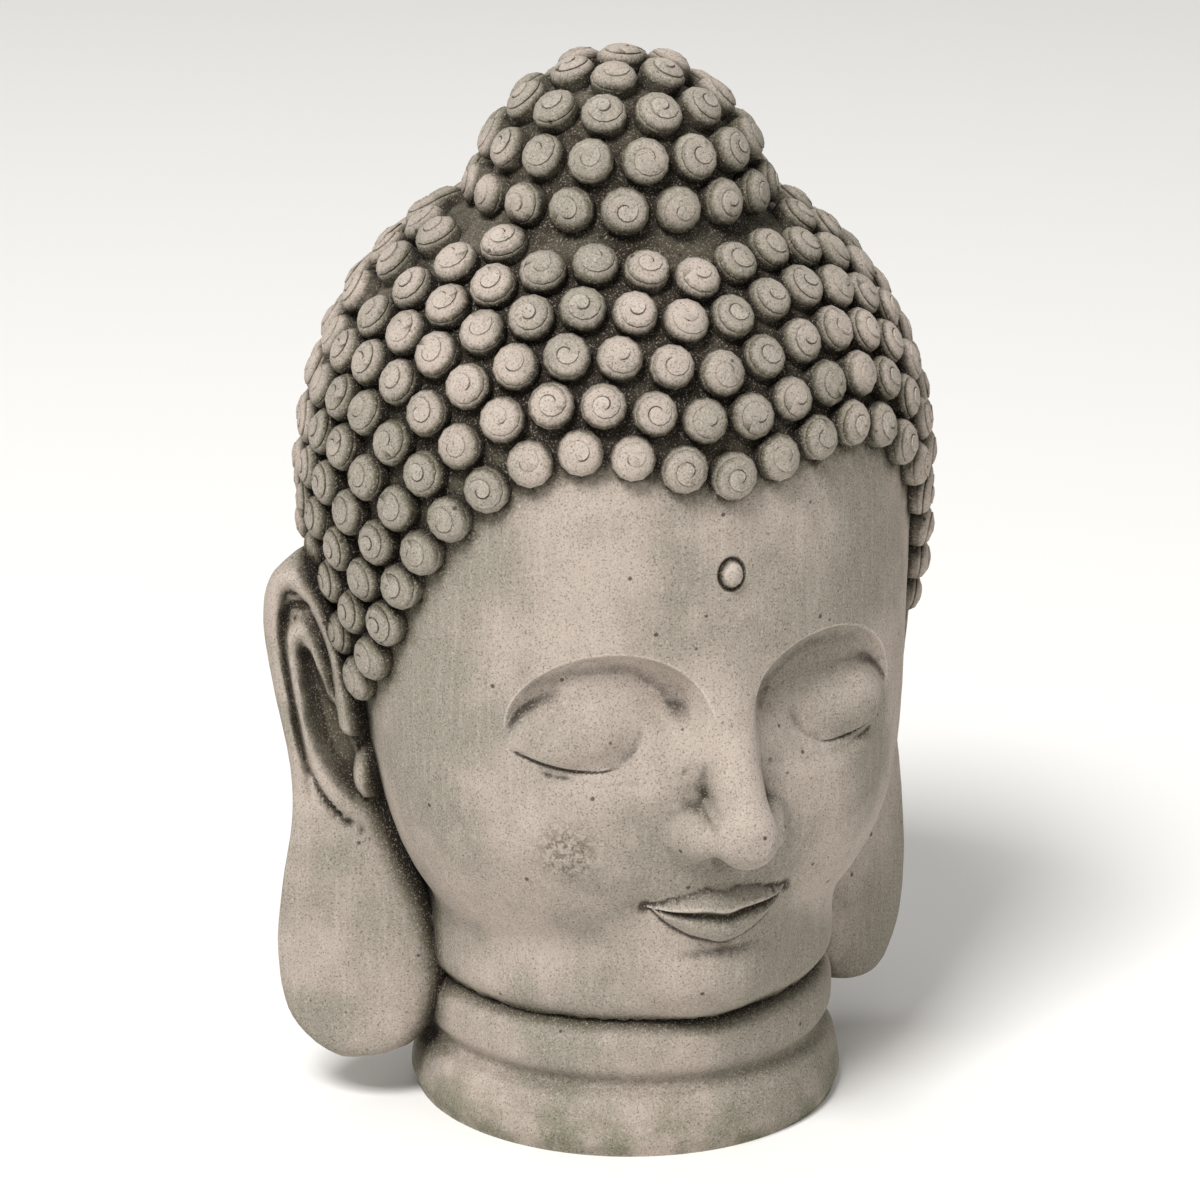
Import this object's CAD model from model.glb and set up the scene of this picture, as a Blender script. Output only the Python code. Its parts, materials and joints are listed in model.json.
# A garden head of cast stone: snail-shell curls, a raised crown, closed eyes, long ears and a ringed neck.
import json
import math
from types import SimpleNamespace as Sizes

import bpy
import numpy as np
from mathutils import Matrix, Vector, noise
from mathutils.bvhtree import BVHTree

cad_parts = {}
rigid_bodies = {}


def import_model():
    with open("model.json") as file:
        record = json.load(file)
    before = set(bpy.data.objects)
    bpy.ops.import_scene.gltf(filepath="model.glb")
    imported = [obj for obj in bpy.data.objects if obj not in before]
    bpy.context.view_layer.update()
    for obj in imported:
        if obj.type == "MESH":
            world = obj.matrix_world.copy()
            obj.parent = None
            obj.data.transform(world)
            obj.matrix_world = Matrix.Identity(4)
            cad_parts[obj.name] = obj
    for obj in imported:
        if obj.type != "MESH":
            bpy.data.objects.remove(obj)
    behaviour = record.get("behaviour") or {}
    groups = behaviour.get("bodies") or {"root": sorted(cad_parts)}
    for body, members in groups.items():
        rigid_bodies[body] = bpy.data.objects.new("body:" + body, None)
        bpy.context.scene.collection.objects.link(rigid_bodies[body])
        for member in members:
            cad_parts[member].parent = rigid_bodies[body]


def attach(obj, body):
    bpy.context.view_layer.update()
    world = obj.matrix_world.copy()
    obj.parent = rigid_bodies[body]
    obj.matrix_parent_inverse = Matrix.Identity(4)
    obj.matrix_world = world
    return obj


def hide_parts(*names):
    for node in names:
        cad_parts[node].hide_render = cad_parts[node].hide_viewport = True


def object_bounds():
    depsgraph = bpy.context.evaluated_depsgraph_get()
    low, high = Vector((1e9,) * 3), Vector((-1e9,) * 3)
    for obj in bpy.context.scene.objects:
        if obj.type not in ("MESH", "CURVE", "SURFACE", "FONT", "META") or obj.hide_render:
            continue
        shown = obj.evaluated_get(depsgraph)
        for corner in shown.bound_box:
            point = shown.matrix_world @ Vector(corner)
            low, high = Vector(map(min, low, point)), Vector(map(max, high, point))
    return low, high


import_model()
CAD_LOW, CAD_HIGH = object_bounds()

bl_info = {
    "name": "Stone Buddha Head",
    "version": (1, 0, 0),
    "blender": (4, 5, 0),
    "location": "3D View > Sidebar > Stone Head",
    "description": "Models a cast stone garden head and its stage",
    "category": "Object",
}

# Lengths are metres. The head keeps its proportions as shares of its height, which the frame gives.
HEIGHT = round(CAD_HIGH.z, 3)
MM = 0.001
TAU = 2 * math.pi
PIECE = "buddha_head_stone"


def share(part):
    return part * HEIGHT


# Heights of the face: chin, nose base, brow and hairline stand a third of the face apart.
CHIN_Z = share(0.13)
FACE_THIRD = share(0.174)
NOSE_BASE_Z = CHIN_Z + FACE_THIRD
BROW_Z = NOSE_BASE_Z + FACE_THIRD
HAIRLINE_Z = BROW_Z + FACE_THIRD

# Masses of the head: centre and half sizes along X, Y and Z.
SKULL = Sizes(y=share(0.016), z=share(0.6), rx=share(0.28), ry=share(0.264), rz=share(0.282))
SKULL_SQUARENESS = 2.1
MASK = Sizes(y=share(-0.044), z=share(0.354), rx=share(0.248), ry=share(0.2), rz=share(0.234))
MASK_REACH = share(0.11)
CHIN = Sizes(y=share(-0.18), z=share(0.178), rx=share(0.07), ry=share(0.055), rz=share(0.05))
CROWN = Sizes(y=share(0.004), z=share(0.84), rx=share(0.126), ry=share(0.126), rz=share(0.136))
NECK = Sizes(y=-4 * MM, rx=103 * MM, ry=106 * MM, top=share(0.4))
NECK_FOLDS_Z = (share(0.066), share(0.128))
NECK_FOLD = Sizes(depth=6 * MM, reach=5.5 * MM)
NECK_PEG = share(0.008)
UNDERSIDE_TUCK = 3 * MM
SEAM_Z = NECK_FOLDS_Z[1]
CORE = np.array([0, share(0.01), share(0.46)])

# Eyes, nose and mouth, measured out from the middle line of the face.
BROW_ARCH = Sizes(x=share(0.104), z=share(0.428), rx=share(0.086), rise=share(0.072), fall=share(0.07))
SOCKET = Sizes(inner=share(0.026), outer=share(0.014))
LID = Sizes(x=share(0.1), y=share(-0.16), z=share(0.414), rx=share(0.086), ry=share(0.056), rz=share(0.052))
LID_TURN = math.radians(24)
LID_EDGE = Sizes(z=share(0.402), sag=share(0.014), half=share(0.07), step=share(0.005), slit=share(0.003))
NOSE_TIP = Sizes(y=share(-0.284), z=NOSE_BASE_Z + share(0.028), r=share(0.027))
NOSE_ROOT = Sizes(y=share(-0.222), z=BROW_Z + share(0.004), r=share(0.019))
NOSE_WING = Sizes(x=share(0.034), y=share(-0.252), z=NOSE_BASE_Z + share(0.022), r=share(0.02))
NOSTRIL = Sizes(x=share(0.019), y=share(-0.272), z=NOSE_BASE_Z + share(0.002), r=share(0.009))
MOUTH = Sizes(z=NOSE_BASE_Z - share(0.06), half=share(0.07), upper=share(0.019), lower=share(0.026))
LIP_RISE = share(0.014)
BROW_MARK = Sizes(z=share(0.568), rx=share(0.0105), rz=share(0.0125), rise=share(0.009))

# Ears: plates that stand out from the sides of the head. The outlines give their edges at each height.
EAR_ROOT = Sizes(x=share(-0.2456), y=share(0.002))
EAR_TURN = math.radians(31)
EAR_ALONG = np.array([-math.cos(EAR_TURN), math.sin(EAR_TURN), 0])
EAR_OUT = np.array([-math.sin(EAR_TURN), -math.cos(EAR_TURN), 0])
EAR_FRONT_EDGE = (
    (0.044, 0.018), (0.06, -0.028), (0.09, -0.05), (0.132, -0.06), (0.19, -0.048), (0.245, -0.028),
    (0.29, -0.014), (0.36, -0.006), (0.43, 0.01), (0.49, 0.032), (0.544, 0.066),
)
EAR_OUTER_EDGE = (
    (0.044, 0.036), (0.06, 0.066), (0.09, 0.09), (0.15, 0.1), (0.22, 0.094), (0.28, 0.084),
    (0.33, 0.084), (0.41, 0.098), (0.48, 0.107), (0.52, 0.098), (0.544, 0.074),
)
# The relief of an ear runs along lines, whose points are (out, up, half width, height) in shares.
EAR_RIM = (
    (0.02, 0.386, 0.016, 0.03), (0.027, 0.446, 0.016, 0.027), (0.04, 0.486, 0.016, 0.023),
    (0.056, 0.512, 0.015, 0.02), (0.076, 0.524, 0.014, 0.017), (0.092, 0.512, 0.012, 0.014),
    (0.096, 0.48, 0.011, 0.011), (0.091, 0.43, 0.0105, 0.01), (0.084, 0.38, 0.01, 0.01),
    (0.077, 0.33, 0.01, 0.009), (0.076, 0.29, 0.011, 0.006),
)
EAR_FOLD = (
    (0.042, 0.404, 0.006, 0.007), (0.052, 0.444, 0.009, 0.011), (0.066, 0.472, 0.011, 0.013),
    (0.077, 0.464, 0.01, 0.013), (0.074, 0.424, 0.01, 0.013), (0.066, 0.38, 0.011, 0.013),
    (0.055, 0.34, 0.013, 0.013), (0.034, 0.31, 0.014, 0.013), (0.01, 0.296, 0.012, 0.01),
)
EAR_HOLLOW = (
    (0.064, 0.448, 0.007, 0.008), (0.056, 0.41, 0.012, 0.014), (0.044, 0.37, 0.016, 0.016),
    (0.03, 0.338, 0.014, 0.016), (0.014, 0.32, 0.01, 0.014),
)
EAR_GROOVE = (
    (0.062, 0.496, 0.005, 0.004), (0.082, 0.49, 0.0055, 0.007), (0.0835, 0.45, 0.005, 0.007),
    (0.077, 0.4, 0.005, 0.007), (0.069, 0.356, 0.005, 0.007), (0.056, 0.322, 0.0045, 0.006),
    (0.036, 0.292, 0.004, 0.005), (0.014, 0.278, 0.003, 0.003),
)
EAR_BUTTON = Sizes(u=share(0.006), z=share(0.336), ru=share(0.017), rz=share(0.028), rise=share(0.034))
EAR_BACK = Sizes(edge=share(0.03), root=share(0.09))

# Hair. The hairline is a height for each turn around the head, from 0 at the face to 180 at the nape.
HAIRLINE = (
    (0, HAIRLINE_Z - share(0.016)), (14, HAIRLINE_Z - share(0.004)), (32, HAIRLINE_Z + share(0.01)),
    (50, HAIRLINE_Z - share(0.034)), (64, HAIRLINE_Z - share(0.114)), (76, HAIRLINE_Z - share(0.206)),
    (92, HAIRLINE_Z - share(0.26)), (112, HAIRLINE_Z - share(0.31)), (150, HAIRLINE_Z - share(0.34)),
    (180, HAIRLINE_Z - share(0.34)),
)
HAIRLINE_SAMPLES = 240
HAIRLINE_ROWS = 6
HAIR_POLE = np.array([0, 0.66, 0.75]) / math.hypot(0.66, 0.75)
CROWN_POLE = np.array([0.0, 0.0, 1.0])
CROWN_CORE = np.array([0, CROWN.y, CROWN.z])
CROWN_RINGS = 5
MERIDIANS = 120
MERIDIAN_STEPS = 90
MERIDIAN_REACH = math.radians(130)


# The middle of the dark stain low on the right cheek.
CHEEK_STAIN = (-70 * MM, -104 * MM, 157 * MM)
PINHOLES_APART = 17 * MM


class HeadSettings(bpy.types.PropertyGroup):
    """Sizes of the hair and the wear of the casting."""

    curl_diameter: bpy.props.FloatProperty(
        name="Curl diameter", description="Width of one snail-shell curl",
        default=21.5 * MM, subtype="DISTANCE")
    curl_gap: bpy.props.FloatProperty(
        name="Curl gap", description="Gap between neighbouring curls", default=1.1 * MM, subtype="DISTANCE")
    curl_rise: bpy.props.FloatProperty(
        name="Curl rise", description="How far a curl stands out of the scalp",
        default=12 * MM, subtype="DISTANCE")
    row_spread: bpy.props.FloatProperty(
        name="Row spread", description="Distance of the rows as a share of that of the curls", default=0.92)
    spiral_turns: bpy.props.FloatProperty(
        name="Spiral turns", description="Turns of the groove on one curl", default=1.95)
    groove_depth: bpy.props.FloatProperty(
        name="Groove depth", description="Depth of the spiral groove", default=1.3 * MM, subtype="DISTANCE")
    wear: bpy.props.FloatProperty(
        name="Wear", description="How uneven the cast surface is", default=0.35 * MM, subtype="DISTANCE")
    seed: bpy.props.IntProperty(name="Seed", description="Start of the random turns of the curls", default=7)


class StoneSettings(bpy.types.PropertyGroup):
    """Colours and grain of the cast stone, as sRGB hex values and real sizes."""

    stone: bpy.props.StringProperty(name="Stone", description="Bare cast stone", default="#b1a499")
    shade: bpy.props.StringProperty(name="Shade", description="Greyer patches", default="#8f887c")
    pale: bpy.props.StringProperty(name="Pale", description="Rubbed high places", default="#d0c6ba")
    soil: bpy.props.StringProperty(name="Soil", description="Thin brown wash", default="#4f493a")
    patina: bpy.props.StringProperty(name="Patina", description="Dark wash in hollows", default="#241d15")
    algae: bpy.props.StringProperty(name="Algae", description="Green film in the damp", default="#6b6b57")
    grain: bpy.props.FloatProperty(
        name="Grain", description="Width of a sand grain", default=0.9 * MM, subtype="DISTANCE")
    pinhole: bpy.props.FloatProperty(
        name="Pinhole", description="Width of a pinhole of the casting",
        default=1.5 * MM, subtype="DISTANCE")


class StageSettings(bpy.types.PropertyGroup):
    """Camera and floor."""

    azimuth: bpy.props.FloatProperty(
        name="Azimuth", description="Turn of the camera around the head",
        default=math.radians(-23), subtype="ANGLE")
    elevation: bpy.props.FloatProperty(
        name="Elevation", description="Angle of the camera above level",
        default=math.radians(17), subtype="ANGLE")
    distance: bpy.props.FloatProperty(
        name="Distance", description="From the camera to the head", default=2.2, subtype="DISTANCE")
    floor: bpy.props.StringProperty(name="Floor", description="Colour of the floor", default="#f2f1ee")


# Small functions for round forms that run into each other. They take whole arrays of places.
def ease(start, stop, value):
    t = np.clip((value - start) / (stop - start), 0, 1)
    return t * t * (3 - 2 * t)


def bell(value, width):
    return np.exp(-((value / width) ** 2))


def blend(a, b, reach):
    near = np.maximum(reach - np.abs(a - b), 0) / reach
    return np.minimum(a, b) - near * near * reach / 4


def ellipsoid(x, y, z, rx, ry, rz):
    """Distance outside an ellipsoid, less than zero inside it."""
    unit = np.sqrt((x / rx) ** 2 + (y / ry) ** 2 + (z / rz) ** 2)
    slope = np.sqrt((x / rx**2) ** 2 + (y / ry**2) ** 2 + (z / rz**2) ** 2)
    return unit * (unit - 1) / np.maximum(slope, 1e-9)


def skull_form(x, y, z):
    plan = np.hypot(x / SKULL.rx, (y - SKULL.y) / SKULL.ry)
    rise = np.abs((z - SKULL.z) / SKULL.rz)
    size = (plan**SKULL_SQUARENESS + rise**SKULL_SQUARENESS) ** (1 / SKULL_SQUARENESS)
    return (size - 1) * SKULL.rx


def crown_form(x, y, z):
    return ellipsoid(x, y - CROWN.y, z - CROWN.z, CROWN.rx, CROWN.ry, CROWN.rz)


def neck_inset(y, z):
    """How far the neck stands in from its widest line. Its folds fade towards the nape."""
    front = ease(share(0.16), share(-0.08), y)
    folds = sum(bell(z - at, NECK_FOLD.reach) for at in NECK_FOLDS_Z)
    narrowing = ease(0, share(0.08), z) * share(0.01)
    tuck = UNDERSIDE_TUCK * (1 - ease(0, share(0.016), z))
    nape = ease(share(0.18), NECK.top, z) * share(0.07)
    return folds * NECK_FOLD.depth * (0.35 + 0.65 * front) + narrowing + tuck + nape


def neck_form(x, y, z):
    inset = neck_inset(y, z)
    rx = NECK.rx - inset
    wall = (np.hypot(x / rx, (y - NECK.y) / (NECK.ry - inset)) - 1) * rx
    return np.maximum(wall, z - NECK.top)


def brow_arch(side, z):
    """The brow as an ellipse: below zero in the eye socket under it."""
    reach = np.where(z > BROW_ARCH.z, BROW_ARCH.rise, BROW_ARCH.fall)
    return np.hypot((side - BROW_ARCH.x) / BROW_ARCH.rx, (z - BROW_ARCH.z) / reach) - 1


def lid_edge_z(side):
    along = (side - LID.x) / LID_EDGE.half
    return LID_EDGE.z - LID_EDGE.sag * (1 - along * along)


def mouth_line_z(side):
    return MOUTH.z + share(0.009) * (side / MOUTH.half) ** 2 - share(0.003) * bell(side, share(0.014))


def upper_lip_z(side):
    bow = share(0.0024) * bell(side - share(0.017), share(0.011))
    return mouth_line_z(side) + MOUTH.upper * (1 - (side / MOUTH.half) ** 2) + bow


def lower_lip_z(side):
    inside = np.maximum(0, 1 - (side / (0.92 * MOUTH.half)) ** 2)
    return mouth_line_z(side) - MOUTH.lower * inside**0.85


def face_relief(side, z):
    """How far the carving of the face stands out of the plain mask, seen from the front."""
    arch = brow_arch(side, z)
    across = ease(share(0.04), share(0.19), side)
    deep = SOCKET.inner * (1 - across) + SOCKET.outer * across
    crisp = 1 - (1 - np.clip(-arch / 0.34, 0, 1)) ** 2
    soft = ease(0, 0.75, -arch)
    below = ease(BROW_ARCH.z + share(0.02), BROW_ARCH.z - share(0.03), z)
    rise = -deep * (crisp * (1 - below) + soft * below)

    rise += share(0.009) * bell(side, share(0.085)) * bell(z - MOUTH.z, share(0.055))
    under_lip = z - lower_lip_z(0.0) + share(0.012)
    rise -= share(0.008) * bell(side, share(0.05)) * bell(under_lip, share(0.013))
    rise += share(0.01) * bell(side - share(0.13), share(0.06)) * bell(z - share(0.32), share(0.07))

    line = mouth_line_z(side)
    up = (z - line) / np.maximum(upper_lip_z(side) - line, 1e-6)
    down = (line - z) / np.maximum(line - lower_lip_z(side), 1e-6)
    t = np.where(z > line, up, down)
    fade = np.sqrt(np.maximum(0, 1 - (side / MOUTH.half) ** 2))
    lip = LIP_RISE * fade * np.sqrt(np.maximum(1 - t * t, 0)) * (0.3 + 0.7 * ease(0, 0.4, t))
    rise += np.where(side < MOUTH.half, lip, 0)
    corner = bell(side - MOUTH.half, share(0.012)) * bell(z - mouth_line_z(MOUTH.half), share(0.014))
    rise -= share(0.006) * corner

    mark = np.hypot(side / BROW_MARK.rx, (z - BROW_MARK.z) / BROW_MARK.rz)
    bead = np.sqrt(np.clip(1 - mark * mark, 0, 1))
    rise += BROW_MARK.rise * bead - 0.3 * BROW_MARK.rise * bell(mark - 1.12, 0.12)
    near_lid = ease(LID_EDGE.half, 0.8 * LID_EDGE.half, np.abs(side - LID.x))
    rise -= 0.4 * LID_EDGE.step * near_lid * bell(z - lid_edge_z(side) + share(0.012), share(0.008))
    return rise


def lid_form(side, y, z):
    """One closed lid over its eyeball, turned to follow the curve of the face."""
    across, out = side - LID.x, y - LID.y
    turned_x = across * math.cos(LID_TURN) - out * math.sin(LID_TURN)
    turned_y = across * math.sin(LID_TURN) + out * math.cos(LID_TURN)
    below = lid_edge_z(side) - z
    slit = LID_EDGE.slit * bell(below - share(0.002), share(0.0022))
    edge = LID_EDGE.step * ease(0, share(0.0016), below) + slit
    return ellipsoid(turned_x, turned_y, z - LID.z, LID.rx, LID.ry, LID.rz) + edge


def nose_form(side, y, z):
    """The nose: a tapering ridge, a round tip and two wings with their nostrils."""
    dy, dz = NOSE_TIP.y - NOSE_ROOT.y, NOSE_TIP.z - NOSE_ROOT.z
    along = np.clip(((y - NOSE_ROOT.y) * dy + (z - NOSE_ROOT.z) * dz) / (dy * dy + dz * dz), 0, 1)
    radius = NOSE_ROOT.r + (NOSE_TIP.r * 0.92 - NOSE_ROOT.r) * along
    square = side**2 + (y - NOSE_ROOT.y - dy * along) ** 2 + (z - NOSE_ROOT.z - dz * along) ** 2
    ridge = np.sqrt(square) - radius
    tip = ellipsoid(side, y - NOSE_TIP.y, z - NOSE_TIP.z, NOSE_TIP.r * 1.05, NOSE_TIP.r, NOSE_TIP.r)
    r = NOSE_WING.r
    wing = ellipsoid(side - NOSE_WING.x, y - NOSE_WING.y, z - NOSE_WING.z, r * 0.86, r * 1.3, r)
    r = NOSTRIL.r
    nostril = ellipsoid(side - NOSTRIL.x, y - NOSTRIL.y, z - NOSTRIL.z, r, r * 1.6, r)
    whole = blend(blend(ridge, tip, share(0.014)), wing, share(0.016))
    return -blend(-whole, nostril, share(0.006))


def plain_form(x, y, z):
    """The bare head without face, ears and curls: below zero inside the stone."""
    mask = ellipsoid(x, y - MASK.y, z - MASK.z, MASK.rx, MASK.ry, MASK.rz)
    chin = ellipsoid(x, y - CHIN.y, z - CHIN.z, CHIN.rx, CHIN.ry, CHIN.rz)
    head = blend(blend(skull_form(x, y, z), mask, MASK_REACH), chin, share(0.06))
    nape = share(0.016) + share(0.05) * ease(0, share(0.1), y)
    return blend(blend(head, crown_form(x, y, z), share(0.02)), neck_form(x, y, z), nape)


def bare_form(x, y, z):
    return np.maximum(plain_form(x, y, z), SEAM_Z - z)


def head_form(x, y, z):
    side = np.abs(x)
    front = ease(0, share(-0.1), y)
    carved = plain_form(x, y + face_relief(side, z) * front, z)
    eyed = blend(carved, lid_form(side, y, z), share(0.008))
    nosed = blend(eyed, nose_form(side, y, z), share(0.026))
    return np.maximum(nosed, SEAM_Z - z)


def surface(aims, form, core=CORE, reach=HEIGHT):
    """Where lines that leave the core come out of a form."""
    inside = np.zeros(aims.shape[:-1])
    outside = np.full(aims.shape[:-1], float(reach))
    for _ in range(22):
        middle = (inside + outside) / 2
        at = core + aims * middle[..., None]
        within = form(at[..., 0], at[..., 1], at[..., 2]) < 0
        inside = np.where(within, middle, inside)
        outside = np.where(within, outside, middle)
    return core + aims * inside[..., None]


def outward(points, form):
    """Unit vectors that point out of a form at places of its surface."""
    step = share(0.001)
    x, y, z = points.T
    at = form(x, y, z)
    ahead = [form(x + step, y, z), form(x, y + step, z), form(x, y, z + step)]
    slope = np.stack(ahead, axis=1) - at[:, None]
    return slope / np.linalg.norm(slope, axis=1)[:, None]


def unit(vectors):
    return vectors / np.linalg.norm(vectors, axis=-1)[..., None]


# The layout of the curls.
def smooth_curve(points, per_span=200):
    """A smooth line through points, close spaced, whose bends stay tight where the points are close."""
    points = np.array(points, float)
    ends = np.vstack([2 * points[0] - points[1], points, 2 * points[-1] - points[-2]])
    t = np.linspace(0, 1, per_span, endpoint=False)[:, None]
    line = []
    for a, b, c, d in zip(ends, ends[1:], ends[2:], ends[3:]):
        ab, bc, cd = (math.sqrt(np.linalg.norm(q - p)) for p, q in ((a, b), (b, c), (c, d)))
        leave = ((b - a) / ab - (c - a) / (ab + bc) + (c - b) / bc) * bc
        arrive = ((c - b) / bc - (d - b) / (bc + cd) + (d - c) / cd) * bc
        cubic = 2 * b - 2 * c + leave + arrive
        square = -3 * b + 3 * c - 2 * leave - arrive
        line.append(cubic * t**3 + square * t**2 + leave * t + b)
    return np.vstack(line + [points[-1:]])


def spaced(line, count, lag=0.0, closed=False):
    """Places at even steps along a line."""
    if closed:
        line = np.vstack([line, line[:1]])
    run = np.concatenate([[0], np.cumsum(np.linalg.norm(np.diff(line, axis=0), axis=1))])
    at = ((np.arange(count) + lag) / count % 1) * run[-1]
    return np.stack([np.interp(at, run, line[:, k]) for k in range(line.shape[1])], axis=1)


def hairline_points():
    """Places on the scalp all along the hairline."""
    back = [(360 - turn, z) for turn, z in reversed(HAIRLINE[1:-1])]
    table = np.array([*HAIRLINE, *back, (360, HAIRLINE[0][1])])
    scale = np.array([1, 1 / MM])
    turn, z = (spaced(smooth_curve(table * scale), HAIRLINE_SAMPLES) / scale).T
    angle = np.radians(turn)
    level = np.stack([np.sin(angle), -np.cos(angle), np.zeros_like(z)], axis=1)
    core = np.stack([np.zeros_like(z), np.zeros_like(z), z], axis=1)
    return surface(level, bare_form, core)


def over_scalp(chord):
    """The way over the scalp between two places whose straight distance is given."""
    return 2 * SKULL.rx * np.arcsin(np.minimum(1, chord / (2 * SKULL.rx)))


def behind_hairline(points, hairline):
    nearest = [np.linalg.norm(hairline - point, axis=1).min() for point in points.reshape(-1, 3)]
    return over_scalp(np.array(nearest)).reshape(points.shape[:-1])


def from_crown(points):
    return np.hypot(points[..., 0], points[..., 1] - CROWN.y) - CROWN.rx


def scalp_meridians(pole):
    """Lines over the scalp that leave a pole in all directions."""
    side = np.array([1.0, 0, 0])
    front = np.cross(side, pole)
    around = np.arange(MERIDIANS)[:, None, None] / MERIDIANS * TAU
    along = np.arange(MERIDIAN_STEPS)[None, :, None] / MERIDIAN_STEPS * MERIDIAN_REACH
    flat = front * np.cos(around) + side * np.sin(around)
    return surface(pole * np.cos(along) + flat * np.sin(along), bare_form)


def row_line(meridians, values, level):
    """Where each meridian first falls below a level of the values."""
    below = values < level
    at = np.argmax(below, axis=1)
    if not below.any(axis=1).all() or (at < 1).any():
        return None
    lines = np.arange(len(meridians))
    before, after = values[lines, at - 1], values[lines, at]
    t = ((before - level) / (before - after))[:, None]
    return meridians[lines, at - 1] * (1 - t) + meridians[lines, at] * t


def ear_edge(edge, z):
    line = smooth_curve(np.array(edge) * HEIGHT, 12)
    return np.interp(z, line[:, 0], line[:, 1])


def behind_ear(points, head):
    """True where an ear, rather than a curl, covers the side of the head."""
    away_x = -np.abs(points[:, 0]) - EAR_ROOT.x
    away_y = points[:, 1] - EAR_ROOT.y
    u = away_x * EAR_ALONG[0] + away_y * EAR_ALONG[1]
    h = away_x * EAR_OUT[0] + away_y * EAR_OUT[1]
    margin = head.curl_diameter / 2
    below = points[:, 2] < share(EAR_FRONT_EDGE[-1][0]) + 0.4 * margin
    return below & (u > ear_edge(EAR_FRONT_EDGE, points[:, 2]) - 0.3 * margin) & (h > -EAR_BACK.root)


def scalp_curls(head):
    """Places of the curls: rows along the hairline, and rings around the crown above them."""
    step = head.curl_diameter + head.curl_gap
    row_step = step * head.row_spread
    crease = 0.75 * head.curl_diameter
    hairline = hairline_points()
    places, rows = [], []

    def add(line, row, wanted):
        run = np.linalg.norm(np.diff(np.vstack([line, line[:1]]), axis=0), axis=1).sum()
        count = max(1, round(run / step))
        found = spaced(line, count, 0.5 if row % 2 else 0, closed=True)
        for at, good in zip(found, wanted(found)):
            if good and all(np.linalg.norm(other - at) > 0.8 * step for other in places):
                places.append(at)
                rows.append(row)

    behind_face = scalp_meridians(HAIR_POLE)
    depth = behind_hairline(behind_face, hairline)
    for row in range(HAIRLINE_ROWS):
        line = row_line(behind_face, depth, step / 2 + row * row_step)
        if line is not None:
            add(line, row, lambda found: from_crown(found) > crease / 5)

    def behind_rows(found):
        return behind_hairline(found, hairline) > (HAIRLINE_ROWS - 0.3) * row_step

    around_crown = scalp_meridians(CROWN_POLE)
    strides = np.linalg.norm(np.diff(around_crown, axis=1), axis=2) * (from_crown(around_crown[:, 1:]) > 0)
    nearness = -np.concatenate([np.zeros((MERIDIANS, 1)), np.cumsum(strides, axis=1)], axis=1)
    ring = 0
    while True:
        line = row_line(around_crown, nearness, -(crease + ring * row_step))
        if line is None or not behind_rows(line).any():
            break
        add(line, HAIRLINE_ROWS + ring, behind_rows)
        ring += 1

    curls = settle(np.array(places), np.array(rows), step)
    return curls[~behind_ear(curls, head)]


def settle(curls, rows, step, passes=14, give=0.4):
    """Curls that stand closer than a step push each other along the scalp. The hairline row stays put."""
    free = rows > 0
    for _ in range(passes):
        away = curls[:, None, :] - curls[None, :, :]
        apart = np.linalg.norm(away, axis=2)
        close = (apart > 0) & (apart < step)
        push = np.where(close, give * (step - apart) / np.maximum(apart, 1e-9), 0)
        moved = curls + (away * push[..., None]).sum(axis=1) * free[:, None]
        curls = np.where(free[:, None], surface(unit(moved - CORE), bare_form), curls)
    return curls


def thinned(curls, others, least):
    """Leaves out each curl that stands too close to an earlier one or to one of the others."""
    kept = []
    for curl in curls:
        if all(np.linalg.norm(other - curl) > least for other in (*others, *kept)):
            kept.append(curl)
    return np.array(kept)


def crown_curls(head):
    """Rings of curls on the crown, from the one on top down to the crease."""
    step = head.curl_diameter + head.curl_gap
    aims = []
    for ring in range(CROWN_RINGS):
        tilt = ring * step * head.row_spread / CROWN.rx
        count = max(1, round(TAU * CROWN.rx * math.sin(tilt) / step))
        for i in range(count):
            around = (i + (0.5 if ring % 2 else 0)) / count * TAU
            out, up = math.sin(tilt), math.cos(tilt)
            aims.append((out * math.sin(around), -out * math.cos(around), up))
    return surface(np.array(aims), crown_form, CROWN_CORE)


# Work on meshes.
def alone(thing):
    """Selects one object alone, and makes it the active one."""
    bpy.ops.object.select_all(action="DESELECT")
    thing.select_set(True)
    bpy.context.view_layer.objects.active = thing
    return thing


def points_of(thing):
    points = np.empty(len(thing.data.vertices) * 3, np.float32)
    thing.data.vertices.foreach_get("co", points)
    return points.reshape(-1, 3).astype(float)


def set_points(thing, points):
    thing.data.vertices.foreach_set("co", np.ascontiguousarray(points, np.float32).ravel())
    thing.data.update()


def place(thing, name):
    """Puts an object's place into its mesh and names it."""
    alone(thing)
    bpy.ops.object.transform_apply(location=True, rotation=True, scale=True)
    thing.name = name
    return thing


def in_edit(thing, mode="FACE"):
    alone(thing)
    bpy.ops.object.mode_set(mode="EDIT")
    bpy.ops.mesh.select_mode(type=mode)
    bpy.ops.mesh.select_all(action="DESELECT")
    bpy.ops.object.mode_set(mode="OBJECT")


def subdivide_where(thing, wanted):
    """Cuts each face whose middle is wanted into four."""
    in_edit(thing)
    middles = np.empty(len(thing.data.polygons) * 3, np.float32)
    thing.data.polygons.foreach_get("center", middles)
    thing.data.polygons.foreach_set("select", wanted(middles.reshape(-1, 3).astype(float)))
    bpy.ops.object.mode_set(mode="EDIT")
    bpy.ops.mesh.subdivide(number_cuts=1)
    bpy.ops.object.mode_set(mode="OBJECT")


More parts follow.
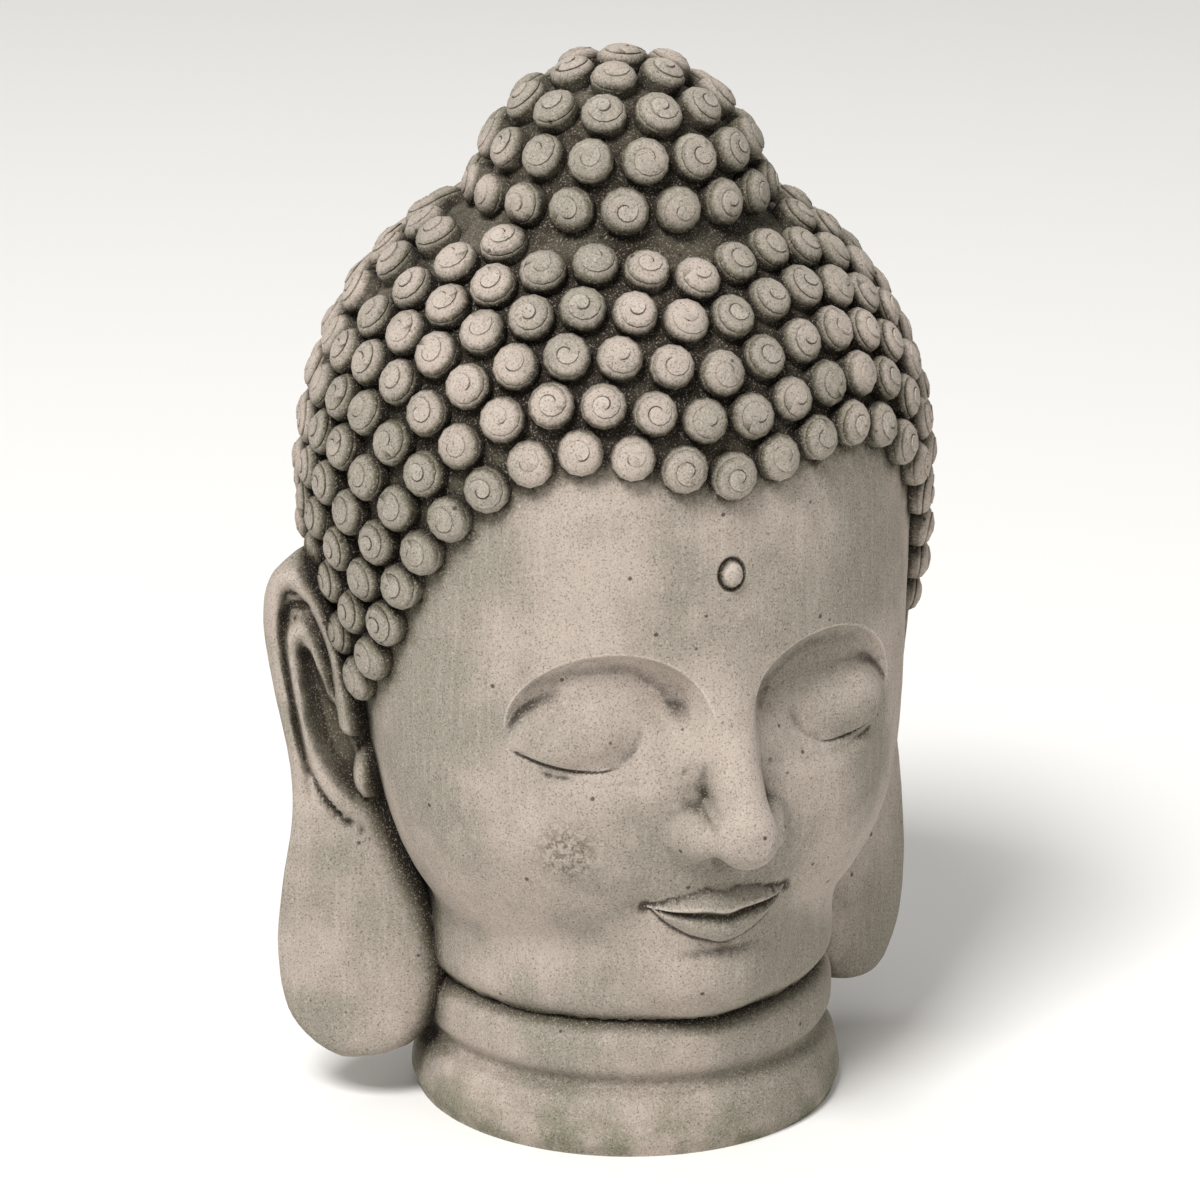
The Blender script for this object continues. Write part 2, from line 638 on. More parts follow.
def face_out(thing):
    """Merges doubles and turns all faces outwards."""
    alone(thing)
    bpy.ops.object.mode_set(mode="EDIT")
    bpy.ops.mesh.select_all(action="SELECT")
    bpy.ops.mesh.remove_doubles(threshold=0.02 * MM)
    bpy.ops.mesh.normals_make_consistent(inside=False)
    bpy.ops.object.mode_set(mode="OBJECT")


def unite(thing, other):
    """Joins another closed body into this one, so that nothing is left inside."""
    alone(thing)
    join = thing.modifiers.new("join", "BOOLEAN")
    join.operation = "UNION"
    join.solver = "MANIFOLD"
    join.object = other
    bpy.ops.object.modifier_apply(modifier=join.name)
    bpy.data.objects.remove(other, do_unlink=True)


def drop_crumbs(thing):
    """Deletes what a union has cut loose: all that does not hang together with the lowest point."""
    in_edit(thing, "VERT")
    thing.data.vertices[int(np.argmin(points_of(thing)[:, 2]))].select = True
    bpy.ops.object.mode_set(mode="EDIT")
    bpy.ops.mesh.select_linked()
    bpy.ops.mesh.select_all(action="INVERT")
    bpy.ops.mesh.delete(type="VERT")
    bpy.ops.object.mode_set(mode="OBJECT")


class STATUE_OT_head(bpy.types.Operator):
    """Models the bare head with its face on a sphere that is pushed out to the form"""

    bl_idname = "statue.head"
    bl_label = "Head and Face"

    def execute(self, context):
        bpy.ops.object.select_all(action="DESELECT")
        bpy.ops.mesh.primitive_ico_sphere_add(subdivisions=5, radius=share(0.3), location=CORE)
        head = place(context.object, "head")
        self.push_out(head)
        for finer in (self.bare_skin, self.plain_face, self.features, self.crisp_edges):
            subdivide_where(head, finer)
            self.push_out(head)
        face_out(head)
        return {"FINISHED"}

    @staticmethod
    def push_out(head):
        set_points(head, surface(unit(points_of(head) - CORE), head_form))

    @staticmethod
    def bare_skin(at):
        """All that is not under the curls."""
        return ((at[:, 1] < share(0.1)) & (at[:, 2] < HAIRLINE_Z + share(0.06))) | (at[:, 2] < share(0.34))

    @staticmethod
    def plain_face(at):
        front = (at[:, 1] < share(-0.06)) & (at[:, 2] < HAIRLINE_Z)
        jaw = at[:, 2] < share(0.2)
        return front | jaw

    @staticmethod
    def features(at):
        side, y, z = np.abs(at[:, 0]), at[:, 1], at[:, 2]
        front = y < share(-0.1)
        eye = (np.abs(brow_arch(side, z)) < 0.2) & (z > BROW_ARCH.z - share(0.02))
        across, away = np.abs(side - LID.x), np.abs(z - lid_edge_z(side))
        lid = (across < LID_EDGE.half + share(0.016)) & (away < share(0.024))
        nose = (side < share(0.075)) & (z > NOSE_BASE_Z - share(0.02)) & (z < BROW_Z + share(0.03))
        mouth = (side < share(0.09)) & (np.abs(z - MOUTH.z) < share(0.05))
        mark = (side < share(0.02)) & (np.abs(z - BROW_MARK.z) < share(0.024))
        return front & (eye | lid | nose | mouth | mark)

    @staticmethod
    def crisp_edges(at):
        side, y, z = np.abs(at[:, 0]), at[:, 1], at[:, 2]
        front = y < share(-0.1)
        across, away = np.abs(side - LID.x), np.abs(z - lid_edge_z(side))
        lid = (across < LID_EDGE.half + share(0.006)) & (away < share(0.011))
        arch = (np.abs(brow_arch(side, z)) < 0.07) & (z > BROW_ARCH.z)
        lips = (side < MOUTH.half + share(0.006)) & (np.abs(z - mouth_line_z(side)) < share(0.008))
        ring = np.hypot(side / BROW_MARK.rx, (z - BROW_MARK.z) / BROW_MARK.rz)
        nostril = np.hypot(side - NOSTRIL.x, z - NOSTRIL.z) < 1.5 * NOSTRIL.r
        return front & (lid | arch | lips | (ring < 1.5) | nostril)


class STATUE_OT_neck(bpy.types.Operator):
    """Models the ringed neck by pulling a circle up, ring by ring"""

    bl_idname = "statue.neck"
    bl_label = "Neck"

    RINGS = 28
    SIDES = 100

    def execute(self, context):
        bpy.ops.object.select_all(action="DESELECT")
        bpy.ops.mesh.primitive_circle_add(
            vertices=self.SIDES, radius=NECK.rx, fill_type="NGON", location=(0, 0, 0))
        neck = place(context.object, "neck")
        rise = (SEAM_Z + share(0.006)) / self.RINGS
        bpy.ops.object.mode_set(mode="EDIT")
        bpy.ops.mesh.select_mode(type="FACE")
        bpy.ops.mesh.select_all(action="SELECT")
        for _ in range(self.RINGS):
            bpy.ops.mesh.extrude_region_move(TRANSFORM_OT_translate={"value": (0, 0, rise)})
        bpy.ops.object.mode_set(mode="OBJECT")
        set_points(neck, self.turned(points_of(neck)))
        face_out(neck)
        return {"FINISHED"}

    @staticmethod
    def turned(points):
        """Gives each ring the neck's width at its height, and sinks the last ones into the head."""
        angle = np.arctan2(points[:, 0], -points[:, 1])
        z = points[:, 2]
        inset = neck_inset(NECK.y - NECK.ry * np.cos(angle), z) + NECK_PEG * (z > SEAM_Z)
        x = (NECK.rx - inset) * np.sin(angle)
        y = NECK.y - (NECK.ry - inset) * np.cos(angle)
        return np.stack([x, y, z], axis=1)


class STATUE_OT_ears(bpy.types.Operator):
    """Models one long-lobed ear from a sphere, and mirrors it for the other side"""

    bl_idname = "statue.ears"
    bl_label = "Ears"

    COLUMNS = 50
    ROWS = 84
    FRONT = 0.76
    # The rings stand closest at both ends and over the upper half, which carries the relief.
    RINGS_DOWN = ((0, 0.04, 0.62, 0.96, 1), (0, 0.02, 0.5, 0.98, 1))

    def execute(self, context):
        bpy.ops.object.select_all(action="DESELECT")
        bpy.ops.mesh.primitive_uv_sphere_add(segments=self.COLUMNS, ring_count=self.ROWS, radius=1)
        right = place(context.object, "ear_right")
        set_points(right, self.shaped(points_of(right)))
        face_out(right)
        left = right.copy()
        left.data = right.data.copy()
        left.name = "ear_left"
        context.collection.objects.link(left)
        set_points(left, points_of(left) * (-1, 1, 1))
        left.data.flip_normals()
        return {"FINISHED"}

    def shaped(self, ball):
        """Moves the rings of a ball to the outline of the ear, front half to its face."""
        low, high = share(EAR_FRONT_EDGE[0][0]), share(EAR_FRONT_EDGE[-1][0])
        around = np.arctan2(ball[:, 1], ball[:, 0]) / TAU % 1
        down = np.interp(np.arccos(np.clip(ball[:, 2], -1, 1)) / math.pi, *self.RINGS_DOWN)
        z = high + (low - high) * down
        start, stop = ear_edge(EAR_FRONT_EDGE, z), ear_edge(EAR_OUTER_EDGE, z)
        in_front = around < self.FRONT
        part = np.where(in_front, around / self.FRONT, (1 - around) / (1 - self.FRONT))
        turn = part * math.pi
        across = part - 0.3 * np.sin(2 * turn) / TAU
        u = start + (stop - start) * across
        bulge = np.sin(turn) ** 0.5
        tips = np.sqrt(np.clip(np.minimum(z - low, high - z) / share(0.012), 0, 1))
        face = self.relief(u, z)
        back = -EAR_BACK.root + (EAR_BACK.root - EAR_BACK.edge) * across
        middle = face * 0.3 + back * 0.35
        h = middle + (np.where(in_front, face, back) - middle) * bulge * tips
        base = np.array([EAR_ROOT.x, EAR_ROOT.y, 0])
        return base + u[:, None] * EAR_ALONG + h[:, None] * EAR_OUT + z[:, None] * np.array([0, 0, 1.0])

    def relief(self, u, z):
        button = np.hypot((u - EAR_BUTTON.u) / EAR_BUTTON.ru, (z - EAR_BUTTON.z) / EAR_BUTTON.rz)
        bead = EAR_BUTTON.rise * np.sqrt(np.clip(1 - button * button, 0, 1)) - share(0.004)
        lobe = ease(share(0.33), share(0.26), z) * share(0.009)
        raised = np.maximum(self.along(EAR_RIM, u, z), self.along(EAR_FOLD, u, z))
        plate = -blend(-lobe, -raised, share(0.006))
        sunk = plate - self.along(EAR_HOLLOW, u, z) - self.along(EAR_GROOVE, u, z)
        return np.where(button < 1, np.maximum(sunk, bead), sunk)

    @staticmethod
    def along(line, u, z):
        """Height of a round ridge that runs along a line."""
        at = smooth_curve(np.array(line) * HEIGHT, 14)
        away = np.hypot(u[:, None] - at[:, 0], z[:, None] - at[:, 1]) / at[:, 2]
        return (at[:, 3] * np.clip(1 - away * away, 0, 1) ** 0.6).max(axis=1)


class STATUE_OT_curls(bpy.types.Operator):
    """Models a few snail-shell curls, and copies them to every place on the scalp and the crown"""

    bl_idname = "statue.curls"
    bl_label = "Curls"

    SEGMENTS = 12
    RIM = 4.5 * MM
    ROOT_DEPTH = 3 * MM
    LEAN = math.radians(6)
    # A curl is half a ball. Its groove is laid out in angles from the top, a quarter turn down to the rim.
    QUARTER = math.pi / 2
    SHOULDER = 0.065
    STEP_REACH = 0.3
    FULLNESS = 0.96
    LAP = 0.45
    # Shares of the set turns and depth of the groove, the angle where it starts, and how it widens.
    KINDS = (
        Sizes(turns=1.0, eye=0.26, growth=1.45, depth=1.0),
        Sizes(turns=0.86, eye=0.3, growth=1.3, depth=0.85),
        Sizes(turns=1.1, eye=0.23, growth=1.5, depth=0.9),
        Sizes(turns=0.95, eye=0.28, growth=1.4, depth=0.65),
    )
    # How much of the room to its neighbours a curl fills, how much it may grow, and its place off the crown.
    FILL = 0.495
    LARGEST = 1.04
    CROWN_CLEARANCE = 0.79

    def execute(self, context):
        head = context.scene.head
        models = [self.one_curl(head, kind) for kind in self.KINDS]
        lots = random_numbers(head.seed)
        crown = crown_curls(head)
        scalp = thinned(scalp_curls(head), crown, self.CROWN_CLEARANCE * head.curl_diameter)
        for name, form, curls in (("scalp_curls", bare_form, scalp), ("crown_curls", crown_form, crown)):
            self.copy_to(models, name, curls, outward(curls, form), head, lots)
        for model in models:
            bpy.data.objects.remove(model, do_unlink=True)
        return {"FINISHED"}

    def one_curl(self, head, kind):
        """A grid wound into a spiral strip, closed in the middle, domed and pulled down at the rim."""
        rows = round(self.SEGMENTS * head.spiral_turns * kind.turns)
        bpy.ops.object.select_all(action="DESELECT")
        bpy.ops.mesh.primitive_grid_add(x_subdivisions=rows, y_subdivisions=4, size=2, location=(0, 0, 0))
        curl = place(bpy.context.object, "curl")
        grid = points_of(curl)
        row = np.rint((grid[:, 0] + 1) / 2 * rows)
        column = np.rint((grid[:, 1] + 1) / 2 * 4).astype(int)
        turn = row / self.SEGMENTS * TAU
        last = rows / self.SEGMENTS * TAU
        inner = self.groove_angle(turn, last, kind)
        outer = self.groove_angle(turn + TAU, last, kind)
        shoulder = np.minimum(self.SHOULDER, 0.3 * (outer - inner))
        across = np.choose(column, [inner, inner + shoulder, (inner + outer) / 2, outer - shoulder, outer])
        across = across / self.QUARTER
        set_points(curl, np.stack([across * np.cos(turn), across * np.sin(turn), 0 * turn], axis=1))
        face_out(curl)
        self.close_eye(curl)
        flat = points_of(curl)
        rim = np.hypot(flat[:, 0], flat[:, 1]) > 0.999
        set_points(curl, self.domed(flat, last, kind, head))
        self.pull_root(curl, rim)
        return curl

    def groove_angle(self, turn, last, kind):
        return kind.eye + (self.QUARTER - kind.eye) * np.clip(turn / last, 0, 1) ** kind.growth

    def close_eye(self, curl):
        """Fills the middle of the spiral, with a ring of its own around its centre."""
        in_edit(curl, "EDGE")
        edge_uses = np.zeros(len(curl.data.edges), int)
        for face in curl.data.polygons:
            for key in face.loop_indices:
                edge_uses[curl.data.loops[key].edge_index] += 1
        flat = points_of(curl)
        ends = np.array([edge.vertices[:] for edge in curl.data.edges])
        reach = np.hypot(flat[:, 0], flat[:, 1])
        inner = (edge_uses == 1) & (reach[ends].max(axis=1) < 0.9 * reach.max())
        curl.data.edges.foreach_set("select", inner)
        bpy.ops.object.mode_set(mode="EDIT")
        bpy.ops.mesh.edge_face_add()
        bpy.ops.mesh.select_mode(type="FACE")
        bpy.ops.mesh.inset(thickness=self.SHOULDER / self.QUARTER, depth=0)
        bpy.ops.mesh.poke()
        bpy.ops.object.mode_set(mode="OBJECT")

    def domed(self, flat, last, kind, head):
        """Bends the flat spiral over a half ball, with its groove cut in and each whorl over the next."""
        reach = np.minimum(np.hypot(flat[:, 0], flat[:, 1]), 1) * self.QUARTER
        turn = np.arctan2(flat[:, 1], flat[:, 0]) % TAU
        cut = np.zeros_like(reach)
        for lap in range(math.ceil(last / TAU)):
            here = turn + lap * TAU
            away = reach - self.groove_angle(here, last, kind)
            fade = ease(0, 0.7, here) * ease(last, last - 0.5, here)
            step = np.where(away > 0, self.LAP * np.exp(-away / self.STEP_REACH), 0)
            cut = np.maximum(cut, fade * np.maximum(bell(away, 0.6 * self.SHOULDER), step))
        size = 1 - head.groove_depth * kind.depth * cut * np.cos(reach) ** 0.3 / (head.curl_diameter / 2)
        wide = head.curl_diameter / 2 * size * np.sin(reach) ** self.FULLNESS
        high = self.RIM + (head.curl_rise - self.RIM) * size * np.cos(reach) ** self.FULLNESS
        return np.stack([wide * np.cos(turn), wide * np.sin(turn), high], axis=1)

    def pull_root(self, curl, rim):
        """Pulls the rim down to a foot that stands in the scalp."""
        in_edit(curl, "EDGE")
        ends = np.array([edge.vertices[:] for edge in curl.data.edges])
        curl.data.edges.foreach_set("select", rim[ends].all(axis=1))
        drop = self.RIM + self.ROOT_DEPTH
        bpy.ops.object.mode_set(mode="EDIT")
        bpy.ops.mesh.extrude_region_move(TRANSFORM_OT_translate={"value": (0, 0, -drop)})
        bpy.ops.transform.resize(value=(0.9, 0.9, 1), center_override=(0, 0, 0))
        bpy.ops.mesh.edge_face_add()
        bpy.ops.object.mode_set(mode="OBJECT")
        face_out(curl)

    def copy_to(self, models, name, curls, normals, head, lots):
        """Copies of the curls, each turned at random and small enough to stand clear of its neighbours."""
        apart = np.linalg.norm(curls[:, None] - curls[None], axis=2)
        np.fill_diagonal(apart, HEIGHT)
        room = np.minimum(self.LARGEST, self.FILL * apart.min(axis=1) / (head.curl_diameter / 2))
        copies = []
        for at, normal, fit in zip(curls, normals, room):
            model = models[int(next(lots) * len(models))]
            one = model.copy()
            one.data = model.data.copy()
            bpy.context.collection.objects.link(one)
            stand = Vector(normal).to_track_quat("Z", "Y").to_matrix().to_4x4()
            lean = Matrix.Rotation(self.LEAN * (2 * next(lots) - 1), 4, "X")
            turn = Matrix.Rotation(next(lots) * TAU, 4, "Z")
            size = Matrix.Diagonal((fit * (0.98 + 0.02 * next(lots)), fit, 0.93 + 0.07 * next(lots), 1))
            one.matrix_world = Matrix.Translation(Vector(at)) @ stand @ lean @ turn @ size
            copies.append(one)
        bpy.ops.object.select_all(action="DESELECT")
        for one in copies:
            one.select_set(True)
        bpy.context.view_layer.objects.active = copies[0]
        bpy.ops.object.join()
        place(copies[0], name)


def random_numbers(seed):
    """An endless run of numbers from 0 to 1 that is the same each time."""
    lots = np.random.default_rng(seed)
    while True:
        yield float(lots.random())


class STATUE_OT_cast(bpy.types.Operator):
    """Joins head, neck, ears and curls into one closed casting, roughens it and gives it its stone"""

    bl_idname = "statue.cast"
    bl_label = "Cast in One"

    SHELTER_RAYS = 20
    SHELTER_REACH = 26 * MM
    GROOVE_RADIUS = 16 * MM
    EDGE_RADIUS = 6 * MM

    def execute(self, context):
        body = bpy.data.objects["head"]
        for name in ("neck", "scalp_curls", "crown_curls", "ear_right", "ear_left"):
            unite(body, bpy.data.objects[name])
        drop_crumbs(body)
        body.name = PIECE
        body.data.name = PIECE
        self.wear_down(body, context.scene.head)
        alone(body)
        bpy.ops.object.shade_smooth_by_angle(angle=math.radians(60))
        self.mark_hollows(body)
        body.data.materials.clear()
        body.data.materials.append(cast_stone(context.scene.stone))
        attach(body, "root")
        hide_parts("buddha_head")
        return {"FINISHED"}

    @staticmethod
    def wear_down(body, head):
        """Uneven places a hand wide and a finger wide, kept inside the solid's box and flat below."""
        points = points_of(body)
        normals = np.empty(len(points) * 3, np.float32)
        body.data.vertices.foreach_get("normal", normals)
        broad = np.array([noise.noise(Vector(p) / (40 * MM)) for p in points])
        fine = np.array([noise.noise(Vector(p) / (7 * MM)) for p in points])
        lift = ((broad + 0.5 * fine) * head.wear * (points[:, 2] > 0.5 * MM))[:, None]
        worn = points + normals.reshape(-1, 3) * lift
        set_points(body, np.clip(worn, np.array(CAD_LOW), np.array(CAD_HIGH)))

    def mark_hollows(self, body):
        """Keeps on each point how sheltered it lies, how deep in a groove, and how proud."""
        points = points_of(body)
        normals = np.empty(len(points) * 3, np.float32)
        body.data.vertices.foreach_get("normal", normals)
        normals = normals.reshape(-1, 3).astype(float)
        ends = np.empty(len(body.data.edges) * 2, np.int32)
        body.data.edges.foreach_get("vertices", ends)
        a, b = ends.reshape(-1, 2).T
        uses = np.bincount(ends, minlength=len(points))

        def spread(values):
            total = np.zeros_like(values)
            np.add.at(total, a, values[b])
            np.add.at(total, b, values[a])
            return total / uses.reshape(-1, *[1] * (values.ndim - 1))

        squares = ((points[a] - points[b]) ** 2).sum(axis=1)
        spacing = (np.bincount(a, squares, len(points)) + np.bincount(b, squares, len(points))) / uses
        bent = ((spread(points) - points) * normals).sum(axis=1) / spacing
        bend = (bent + spread(bent)) / 2
        groove = np.clip(bend * self.GROOVE_RADIUS, 0, 1)
        proud = np.clip(-bend * self.EDGE_RADIUS, 0, 1)
        shelter = self.sheltered(body, points, normals)
        shelter = (shelter + spread(shelter)) / 2
        for name, values in (("shelter", shelter), ("groove", groove), ("proud", proud)):
            mark = body.data.attributes.new(name, "FLOAT", "POINT")
            mark.data.foreach_set("value", values.astype(np.float32))

    def sheltered(self, body, points, normals):
        """The share of near surroundings that each point sees stone in."""
        faces = [tuple(face.vertices) for face in body.data.polygons]
        tree = BVHTree.FromPolygons([Vector(p) for p in points], faces)
        count = self.SHELTER_RAYS
        tilt = np.sqrt((np.arange(count) + 0.5) / count) * 0.97
        turn = np.arange(count) * math.pi * (3 - math.sqrt(5))
        fan = np.stack([tilt * np.cos(turn), tilt * np.sin(turn), np.sqrt(1 - tilt**2)], axis=1)
        helper = np.where(np.abs(normals[:, 2:3]) < 0.9, [[0.0, 0, 1]], [[1.0, 0, 0]])
        side = unit(np.cross(helper, normals))
        other = np.cross(normals, side)
        starts = points + normals * 0.15 * MM
        seen = np.zeros(len(points))
        for x, y, z in fan:
            rays = side * x + other * y + normals * z
            for i, (start, ray) in enumerate(zip(starts.tolist(), rays.tolist())):
                hit = tree.ray_cast(start, ray, self.SHELTER_REACH)
                if hit[3] is not None:
                    seen[i] += 1 - 0.6 * hit[3] / self.SHELTER_REACH
        return seen / count


def linear(colour):
    """An sRGB hex colour as the linear values that shaders take."""
    parts = [int(colour[i:i + 2], 16) / 255 for i in (1, 3, 5)]
    return (*[p / 12.92 if p <= 0.04045 else ((p + 0.055) / 1.055) ** 2.4 for p in parts], 1)


def add_node(tree, kind, settings=None, links=None):
    """Adds a node, sets its properties and sockets, and links sockets from other nodes."""
    node = tree.nodes.new(kind)
    for key, value in (settings or {}).items():
        if isinstance(key, str) and hasattr(node, key):
            setattr(node, key, value)
        else:
            node.inputs[key].default_value = value
    for key, source in (links or {}).items():
        tree.links.new(source, node.inputs[key])
    return node


def cast_stone(stone):
    """Cast stone: cement and sand, poured in a mould, washed dark and rubbed back, then left in a garden.

    It gives the eye a matt, sandy, warm grey, black-brown in the hollows, pale on what stands proud, and
    faintly green where it stays damp.
    """
    material = bpy.data.materials.new("cast_stone")
    material.use_nodes = True
    tree = material.node_tree
    tree.nodes.clear()
    where = add_node(tree, "ShaderNodeTexCoord").outputs["Object"]

    def pattern(width, detail=3.0, stretch=(1, 1, 1), rough=0.55):
        """A noise whose blots are about as wide as said, in metres."""
        scale = tuple(s / width for s in stretch)
        scaled = add_node(tree, "ShaderNodeMapping", {"Scale": scale}, {"Vector": where})
        return add_node(
            tree, "ShaderNodeTexNoise", {"Scale": 1.0, "Detail": detail, "Roughness": rough},
            {"Vector": scaled.outputs[0]}).outputs["Fac"]

    def between(value, low, high, start=0.0, stop=1.0):
        return add_node(
            tree, "ShaderNodeMapRange",
            {"interpolation_type": "SMOOTHSTEP", 1: low, 2: high, 3: start, 4: stop}, {0: value}).outputs[0]

    def sum_of(operation, first, second):
        node = add_node(tree, "ShaderNodeMath", {"operation": operation, "use_clamp": True})
        for socket, value in zip(node.inputs, (first, second)):
            if isinstance(value, float):
                socket.default_value = value
            else:
                tree.links.new(value, socket)
        return node.outputs[0]

    def mix(amount, under, over, way="MIX"):
        node = add_node(tree, "ShaderNodeMix", {"data_type": "RGBA", "blend_type": way}, {0: amount})
        for socket, value in ((node.inputs[6], under), (node.inputs[7], over)):
            if isinstance(value, str):
                socket.default_value = linear(value)
            else:
                tree.links.new(value, socket)
        return node.outputs[2]

    def mark(name):
        return add_node(tree, "ShaderNodeAttribute", {"attribute_name": name}).outputs["Fac"]

    shelter, groove, proud = mark("shelter"), mark("groove"), mark("proud")
    clouds = pattern(80 * MM)
    blots = pattern(24 * MM, detail=5.0)
    grain = pattern(stone.grain, detail=2.0, rough=0.7)
    coarse = pattern(3.2 * MM, detail=4.0, rough=0.7)
    strokes = pattern(2.2 * MM, detail=2.0, stretch=(1, 1, 0.07))

    colour = mix(between(clouds, 0.36, 0.6, 0.0, 1.0), stone.stone, stone.shade)
    colour = mix(between(blots, 0.5, 0.7, 0.0, 0.35), colour, stone.shade)
    colour = mix(between(strokes, 0.45, 0.75, 0.0, 0.14), colour, stone.pale)
    rubbed = sum_of("MULTIPLY", between(proud, 0.2, 0.9), between(coarse, 0.3, 0.6, 0.25, 0.6))
    colour = mix(rubbed, colour, stone.pale)

    damp = sum_of("MULTIPLY", between(shelter, 0.06, 0.3), between(clouds, 0.4, 0.6, 0.05, 0.5))
    colour = mix(damp, colour, stone.algae)
    height = add_node(tree, "ShaderNodeSeparateXYZ", None, {0: where}).outputs[2]
    rising = sum_of("MULTIPLY", between(height, 0.0, 42 * MM, 0.8, 0.0), between(blots, 0.36, 0.6))
    colour = mix(rising, colour, stone.algae)
    from_stain = add_node(
        tree, "ShaderNodeVectorMath", {"operation": "DISTANCE", 1: CHEEK_STAIN}, {0: where})
    stain = between(from_stain.outputs["Value"], 4 * MM, 21 * MM, 0.75, 0.0)
    colour = mix(sum_of("MULTIPLY", stain, between(coarse, 0.42, 0.6)), colour, stone.soil)

    # The wash gathers in two steps: thin and brown where it is a little sheltered, then nearly black.
    gathered = sum_of("ADD", shelter, sum_of("MULTIPLY", coarse, 0.3))
    colour = mix(between(gathered, 0.17, 0.5, 0.0, 0.8), colour, stone.soil)
    lines = between(groove, 0.15, 0.9, 0.0, 0.85)
    colour = mix(sum_of("MAXIMUM", between(gathered, 0.4, 0.74, 0.0, 0.95), lines), colour, stone.patina)

    colour = mix(between(grain, 0.53, 0.7, 0.0, 0.6), colour, stone.patina)
    colour = mix(between(grain, 0.44, 0.3, 0.0, 0.4), colour, stone.pale)

    spots = add_node(
        tree, "ShaderNodeTexVoronoi",
        {"feature": "F1", "Scale": 1 / PINHOLES_APART, "Randomness": 1.0}, {"Vector": where})
    rim = stone.pinhole / PINHOLES_APART
    hole = between(spots.outputs["Distance"], 0.5 * rim, 0.9 * rim, 1.0, 0.0)
    colour = mix(sum_of("MULTIPLY", hole, 0.75), colour, stone.patina)

    surface_height = sum_of("SUBTRACT", sum_of("MULTIPLY", grain, 0.5), sum_of("MULTIPLY", hole, 0.6))
    fine = add_node(
        tree, "ShaderNodeBump", {"Strength": 0.55, "Distance": 0.6 * MM}, {"Height": surface_height})
    rough = add_node(
        tree, "ShaderNodeBump", {"Strength": 0.4, "Distance": 1.2 * MM},
        {"Height": coarse, "Normal": fine.outputs[0]})
    shader = add_node(
        tree, "ShaderNodeBsdfPrincipled", {"Roughness": 0.93, "IOR": 1.5, "Specular IOR Level": 0.25},
        {"Base Color": colour, "Normal": rough.outputs[0]})
    add_node(tree, "ShaderNodeOutputMaterial", None, {"Surface": shader.outputs[0]})
    return material


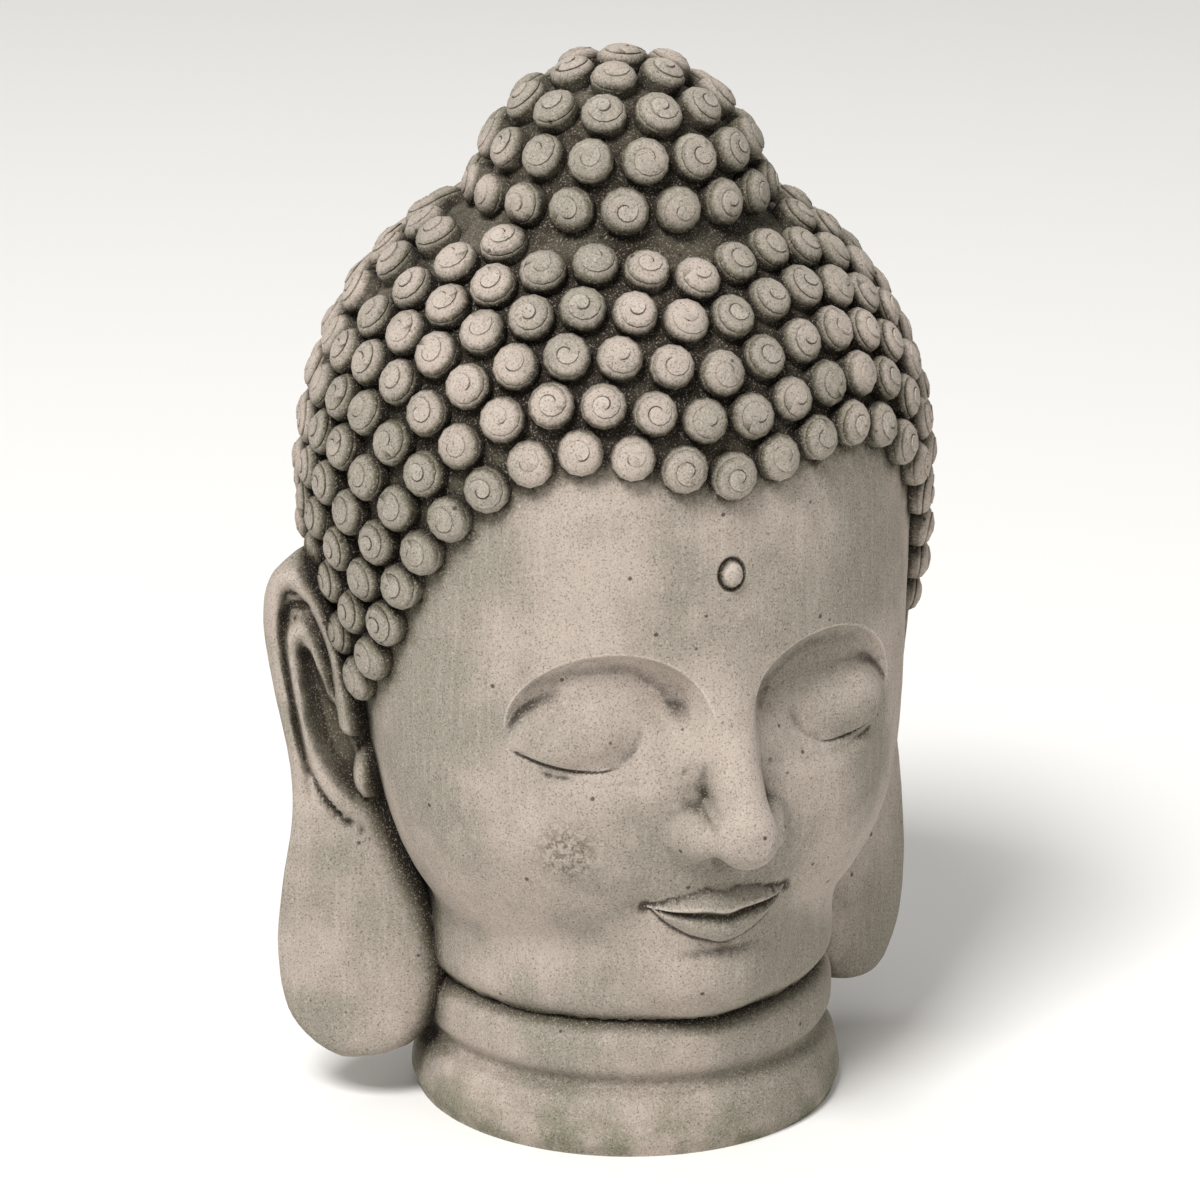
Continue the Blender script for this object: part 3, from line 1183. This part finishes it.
class STATUE_OT_stage(bpy.types.Operator):
    """Lays a pale floor and sets soft studio light and the camera"""

    bl_idname = "statue.stage"
    bl_label = "Stage"

    SENSOR = 36.0
    # The head in the photograph, of 1200 pixels a side: its scale, and where its middle lies.
    PHOTO_SIDE = 1200
    PHOTO_SCALE = 2137
    PHOTO_MIDDLE = (622, 572)

    def execute(self, context):
        stage = context.scene.stage
        bpy.ops.object.select_all(action="DESELECT")
        bpy.ops.mesh.primitive_plane_add(size=30, location=(0, 0, 0))
        floor = place(context.object, "floor")
        paper = bpy.data.materials.new("matt_paper")
        paper.use_nodes = True
        shader = paper.node_tree.nodes["Principled BSDF"]
        shader.inputs["Base Color"].default_value = linear(stage.floor)
        shader.inputs["Roughness"].default_value = 1.0
        shader.inputs["Specular IOR Level"].default_value = 0.0
        floor.data.materials.append(paper)
        self.light("key", (-2.9, -2.6, 5.2), 2.0, 430)
        self.light("fill", (1.9, -1.6, 1.2), 2.0, 5)
        self.light("top", (0.2, 1.6, 4.6), 4.0, 40)
        self.sky(context)
        self.camera(context, stage)
        return {"FINISHED"}

    @staticmethod
    def light(name, at, size, power):
        bpy.ops.object.light_add(type="AREA", location=at)
        lamp = bpy.context.object
        lamp.name = name
        lamp.data.size = size
        lamp.data.energy = power
        aim = Vector((0, 0, HEIGHT / 2)) - Vector(at)
        lamp.rotation_euler = aim.to_track_quat("-Z", "Y").to_euler()

    @staticmethod
    def sky(context):
        world = bpy.data.worlds.new("studio")
        world.use_nodes = True
        back = world.node_tree.nodes["Background"]
        back.inputs["Color"].default_value = linear("#fbfaf8")
        back.inputs["Strength"].default_value = 0.36
        context.scene.world = world
        context.scene.view_settings.view_transform = "Standard"

    def camera(self, context, stage):
        turn, tilt = stage.azimuth, stage.elevation
        back = Vector((math.sin(turn) * math.cos(tilt), -math.cos(turn) * math.cos(tilt), math.sin(tilt)))
        bpy.ops.object.camera_add(location=Vector((0, 0, HEIGHT / 2)) + back * stage.distance)
        camera = context.object
        camera.rotation_euler = (-back).to_track_quat("-Z", "Y").to_euler()
        camera.data.sensor_width = self.SENSOR
        camera.data.lens = self.PHOTO_SCALE * stage.distance * self.SENSOR / self.PHOTO_SIDE
        middle = self.PHOTO_SIDE / 2
        camera.data.shift_x = (middle - self.PHOTO_MIDDLE[0]) / self.PHOTO_SIDE
        camera.data.shift_y = (self.PHOTO_MIDDLE[1] - middle) / self.PHOTO_SIDE
        context.scene.camera = camera


class STATUE_PT_panel(bpy.types.Panel):
    """The head's sizes, stone and steps"""

    bl_label = "Stone Head"
    bl_space_type = "VIEW_3D"
    bl_region_type = "UI"
    bl_category = "Stone Head"

    def draw(self, context):
        for group in (context.scene.head, context.scene.stone, context.scene.stage):
            box = self.layout.box()
            for name in group.bl_rna.properties.keys():
                if name not in {"rna_type", "name"}:
                    box.prop(group, name)
        for step in STEPS:
            self.layout.operator(step.bl_idname)


STEPS = (STATUE_OT_head, STATUE_OT_neck, STATUE_OT_ears, STATUE_OT_curls, STATUE_OT_cast, STATUE_OT_stage)
GROUPS = {"head": HeadSettings, "stone": StoneSettings, "stage": StageSettings}


def register():
    for group in GROUPS.values():
        bpy.utils.register_class(group)
    for step in (*STEPS, STATUE_PT_panel):
        bpy.utils.register_class(step)
    for name, group in GROUPS.items():
        setattr(bpy.types.Scene, name, bpy.props.PointerProperty(type=group))


def unregister():
    for name in GROUPS:
        delattr(bpy.types.Scene, name)
    for step in (STATUE_PT_panel, *reversed(STEPS)):
        bpy.utils.unregister_class(step)
    for group in GROUPS.values():
        bpy.utils.unregister_class(group)


def main():
    register()
    bpy.ops.statue.head()
    bpy.ops.statue.neck()
    bpy.ops.statue.ears()
    bpy.ops.statue.curls()
    bpy.ops.statue.cast()
    bpy.ops.statue.stage()


if __name__ == "__main__":
    main()
